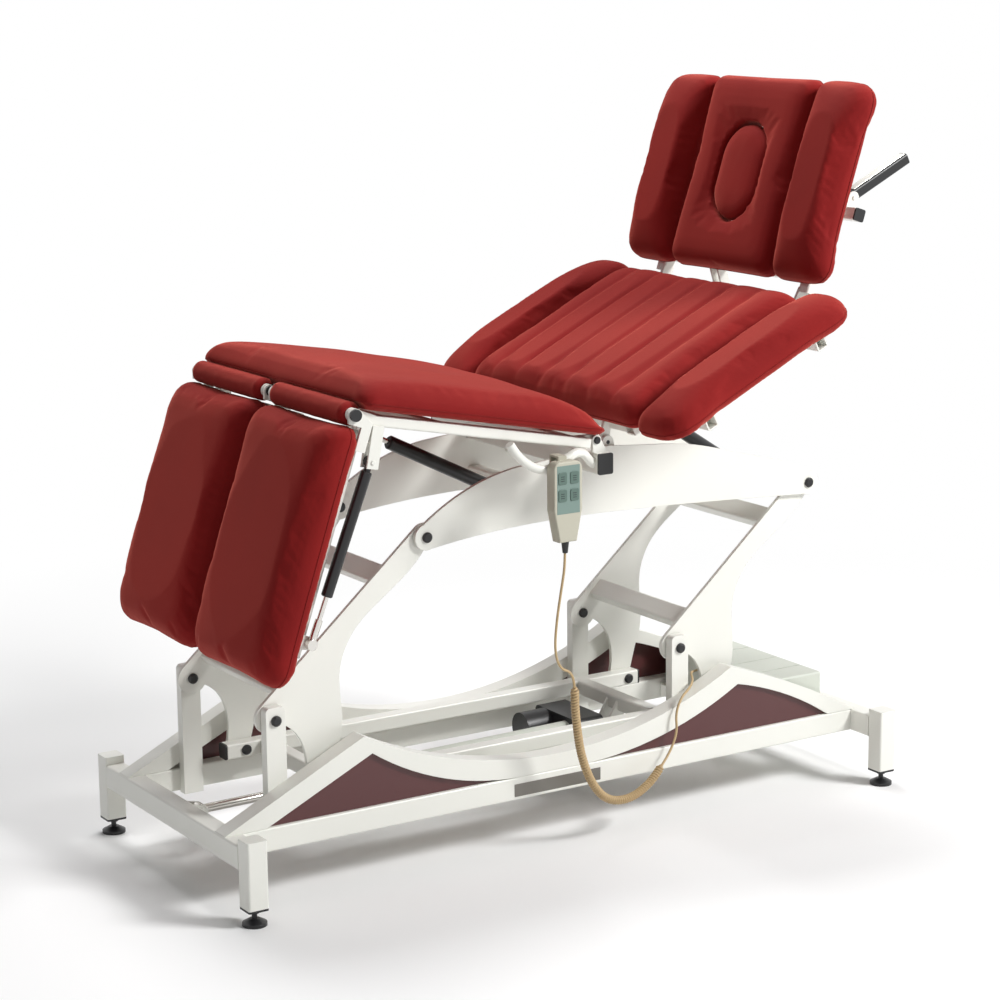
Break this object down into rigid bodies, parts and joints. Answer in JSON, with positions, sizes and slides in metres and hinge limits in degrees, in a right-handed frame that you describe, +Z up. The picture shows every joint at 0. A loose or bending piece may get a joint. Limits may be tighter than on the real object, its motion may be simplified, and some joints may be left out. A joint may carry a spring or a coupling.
{
  "type": "treatment table",
  "caption": "Electric three-section treatment table with split leg rests, red padding, an off-white parallelogram lift frame and a corded hand control.",
  "frame": {"origin": "centre of the bounding box's bottom face, on the floor", "axes": "+X to the head end, +Y to the far side, +Z up"},
  "size_m": [1.542, 0.86, 1.4376],
  "materials": {
    "frame_paint": "satin",
    "maroon_panel": "satin",
    "black_plastic": "satin",
    "pale_plastic": "matte",
    "red_cover": "matte",
    "black_steel": "satin",
    "bright_steel": "polished",
    "handset_casing": "matte",
    "key_dark": "matte",
    "tan_cord": "matte"
  },
  "bodies": {
    "root": {"corner_legs": "frame_paint", "base_cross_tubes": "frame_paint", "near_side_frame": "frame_paint", "far_side_frame": "frame_paint", "infill_panels": "maroon_panel", "pivot_posts": "frame_paint", "levelling_feet": "black_plastic", "control_box": "pale_plastic", "base_pivot_bolts": "black_plastic"},
    "foot_arms": {"foot_arm_plates": "frame_paint", "foot_arm_tubes": "frame_paint"},
    "head_arms": {"head_arm_plates": "frame_paint", "head_arm_tubes": "frame_paint"},
    "link": {"link_frame": "frame_paint", "link_caps_and_bolts": "black_plastic"},
    "mid": {"mid_plates": "frame_paint", "mid_cross_tubes": "frame_paint", "hinge_tube": "frame_paint", "mid_caps_and_bolts": "black_plastic", "handset_hook": "frame_paint", "cord_lead": "tan_cord", "cord_curl": "tan_cord", "cord_tail": "tan_cord"},
    "lift_motor": {"lift_motor": "pale_plastic"},
    "lift_rod": {"lift_rod": "bright_steel"},
    "seat": {"seat_frame": "frame_paint", "seat_cushion": "red_cover", "seat_bolts": "black_plastic", "knee_rolls": "red_cover"},
    "back": {"back_frame": "frame_paint", "back_cushion": "red_cover", "near_arm_pad": "red_cover", "far_arm_pad": "red_cover"},
    "head": {"head_frame": "frame_paint", "head_tube_caps": "black_plastic", "head_centre_pad": "red_cover", "near_head_pad": "red_cover", "far_head_pad": "red_cover"},
    "face_plug": {"face_plug": "red_cover"},
    "head_lever": {"head_lever": "black_plastic"},
    "handset": {"handset_shell": "handset_casing", "strain_relief": "black_plastic"},
    "near_leg": {"near_leg_frame": "frame_paint", "near_leg_cushion": "red_cover"},
    "near_leg_spring_cylinder": {"near_leg_spring_cylinder": "black_steel"},
    "near_leg_spring_rod": {"near_leg_spring_rod": "bright_steel"},
    "far_leg": {"far_leg_frame": "frame_paint", "far_leg_cushion": "red_cover"},
    "far_leg_spring_cylinder": {"far_leg_spring_cylinder": "black_steel"},
    "far_leg_spring_rod": {"far_leg_spring_rod": "bright_steel"},
    "seat_spring_cylinder": {"seat_spring_cylinder": "black_steel"},
    "seat_spring_rod": {"seat_spring_rod": "bright_steel"},
    "back_spring_cylinder": {"back_spring_cylinder": "black_steel"},
    "back_spring_rod": {"back_spring_rod": "bright_steel"},
    "head_strut_cylinder": {"head_strut_cylinder": "black_steel"},
    "head_strut_rod": {"head_strut_rod": "bright_steel"},
    "button_1": {"button_1": "key_dark"},
    "button_2": {"button_2": "key_dark"},
    "button_3": {"button_3": "key_dark"},
    "button_4": {"button_4": "key_dark"}
  },
  "joints": [
    {"name": "lift", "type": "hinge", "parent": "root", "child": "head_arms", "pos_m": [0.26553, 0, 0.328], "axis": [0, -1, 0], "range_deg": [-6, 20], "deforming": ["cord_lead", "cord_curl", "cord_tail"]},
    {"name": "foot_arms_turn", "type": "hinge", "parent": "root", "child": "foot_arms", "pos_m": [-0.63647, 0, 0.328], "axis": [0, -1, 0], "range_deg": [-6, 20]},
    {"name": "link_turn", "type": "hinge", "parent": "head_arms", "child": "link", "pos_m": [0.35953, 0, 0.178], "axis": [0, -1, 0], "range_deg": [-20, 6]},
    {"name": "mid_turn", "type": "hinge", "parent": "head_arms", "child": "mid", "pos_m": [0.59512, 0, 0.62341], "axis": [0, -1, 0], "range_deg": [-20, 6]},
    {"name": "lift_motor_turn", "type": "hinge", "parent": "link", "child": "lift_motor", "pos_m": [0.20853, 0, 0.133], "axis": [0, -1, 0], "range_deg": [-0.71, 2.38]},
    {"name": "lift_rod_slide", "type": "slide", "parent": "lift_motor", "child": "lift_rod", "axis": [-0.9999, 0, -0.012], "range_m": [-0.01427, 0.04758]},
    {"name": "seat_tilt", "type": "hinge", "parent": "mid", "child": "seat", "pos_m": [-0.00688, 0, 0.79241], "axis": [0, 1, 0], "range_deg": [-4, 9.4]},
    {"name": "seat_spring_turn", "type": "hinge", "parent": "mid", "child": "seat_spring_cylinder", "pos_m": [-0.02688, 0, 0.64541], "axis": [0, -1, 0], "range_deg": [-8.03, 3.42]},
    {"name": "seat_spring_slide", "type": "slide", "parent": "seat_spring_cylinder", "child": "seat_spring_rod", "axis": [-0.8948, 0, 0.4465], "range_m": [-0.0096, 0.02255]},
    {"name": "near_leg_turn", "type": "hinge", "parent": "seat", "child": "near_leg", "pos_m": [-0.52991, -0.1665, 0.89502], "axis": [0, -1, 0], "range_deg": [-82, 0]},
    {"name": "near_leg_spring_turn", "type": "hinge", "parent": "seat", "child": "near_leg_spring_cylinder", "pos_m": [-0.4933, -0.297, 0.80632], "axis": [0, -1, 0], "range_deg": [-83.28, 0]},
    {"name": "near_leg_spring_slide", "type": "slide", "parent": "near_leg_spring_cylinder", "child": "near_leg_spring_rod", "axis": [-0.372, 0, -0.9282], "range_m": [0, 0.1256]},
    {"name": "far_leg_turn", "type": "hinge", "parent": "seat", "child": "far_leg", "pos_m": [-0.52991, 0.1665, 0.89502], "axis": [0, -1, 0], "range_deg": [-82, 0]},
    {"name": "far_leg_spring_turn", "type": "hinge", "parent": "seat", "child": "far_leg_spring_cylinder", "pos_m": [-0.4933, 0.297, 0.80632], "axis": [0, -1, 0], "range_deg": [-83.28, 0]},
    {"name": "far_leg_spring_slide", "type": "slide", "parent": "far_leg_spring_cylinder", "child": "far_leg_spring_rod", "axis": [-0.372, 0, -0.9282], "range_m": [0, 0.1256]},
    {"name": "back_tilt", "type": "hinge", "parent": "mid", "child": "back", "pos_m": [0.10612, 0, 0.75741], "axis": [0, -1, 0], "range_deg": [-26, 45]},
    {"name": "back_spring_turn", "type": "hinge", "parent": "mid", "child": "back_spring_cylinder", "pos_m": [0.53312, 0, 0.64041], "axis": [0, -1, 0], "range_deg": [-5.09, 2.94]},
    {"name": "back_spring_slide", "type": "slide", "parent": "back_spring_cylinder", "child": "back_spring_rod", "axis": [-0.8438, 0, 0.5367], "range_m": [-0.06103, 0.10563]},
    {"name": "head_tilt", "type": "hinge", "parent": "back", "child": "head", "pos_m": [0.51414, 0, 0.98979], "axis": [0, -1, 0], "range_deg": [-76, 0]},
    {"name": "head_strut_turn", "type": "hinge", "parent": "back", "child": "head_strut_cylinder", "pos_m": [0.28588, 0.06, 0.84508], "axis": [0, -1, 0], "range_deg": [-0.1839, 0]},
    {"name": "head_strut_slide", "type": "slide", "parent": "head_strut_cylinder", "child": "head_strut_rod", "axis": [0.92, 0, 0.3919], "range_m": [-0.06883, 0]},
    {"name": "face_plug_out", "type": "slide", "parent": "head", "child": "face_plug", "axis": [-0.9511, 0, 0.309], "range_m": [0, 0.08]},
    {"name": "head_lever_pull", "type": "hinge", "parent": "head", "child": "head_lever", "pos_m": [0.62414, -0.25, 1.20535], "axis": [0, -1, 0], "range_deg": [0, 12], "stiffness_Nm_per_rad": 6, "springref_deg": -5.73},
    {"name": "handset_lift_off", "type": "slide", "parent": "mid", "child": "handset", "axis": [0, 0, 1], "range_m": [0, 0.03], "deforming": ["cord_lead"]},
    {"name": "button_1_press", "type": "slide", "parent": "handset", "child": "button_1", "axis": [0, 1, 0], "range_m": [0, 0.001], "stiffness_N_per_m": 400},
    {"name": "button_2_press", "type": "slide", "parent": "handset", "child": "button_2", "axis": [0, 1, 0], "range_m": [0, 0.001], "stiffness_N_per_m": 400},
    {"name": "button_3_press", "type": "slide", "parent": "handset", "child": "button_3", "axis": [0, 1, 0], "range_m": [0, 0.001], "stiffness_N_per_m": 400},
    {"name": "button_4_press", "type": "slide", "parent": "handset", "child": "button_4", "axis": [0, 1, 0], "range_m": [0, 0.001], "stiffness_N_per_m": 400}
  ],
  "couplings": [
    {"joint": "foot_arms_turn", "follows": "lift", "ratio": 1},
    {"joint": "link_turn", "follows": "lift", "ratio": -1},
    {"joint": "mid_turn", "follows": "lift", "ratio": -1},
    {"joint": "lift_motor_turn", "follows": "lift", "ratio": 0.1188},
    {"joint": "lift_rod_slide", "follows": "lift", "m_per_rad": 0.13631},
    {"joint": "seat_spring_turn", "follows": "seat_tilt", "ratio": -0.85402},
    {"joint": "seat_spring_slide", "follows": "seat_tilt", "m_per_rad": 0.13745},
    {"joint": "near_leg_spring_turn", "follows": "near_leg_turn", "ratio": 1.0156},
    {"joint": "near_leg_spring_slide", "follows": "near_leg_turn", "m_per_rad": -0.087762},
    {"joint": "far_leg_spring_turn", "follows": "far_leg_turn", "ratio": 1.0156},
    {"joint": "far_leg_spring_slide", "follows": "far_leg_turn", "m_per_rad": -0.087762},
    {"joint": "back_spring_turn", "follows": "back_tilt", "ratio": -0.11305},
    {"joint": "back_spring_slide", "follows": "back_tilt", "m_per_rad": 0.1345},
    {"joint": "head_strut_turn", "follows": "head_tilt", "ratio": 0.002419},
    {"joint": "head_strut_slide", "follows": "head_tilt", "m_per_rad": 0.051889}
  ]
}
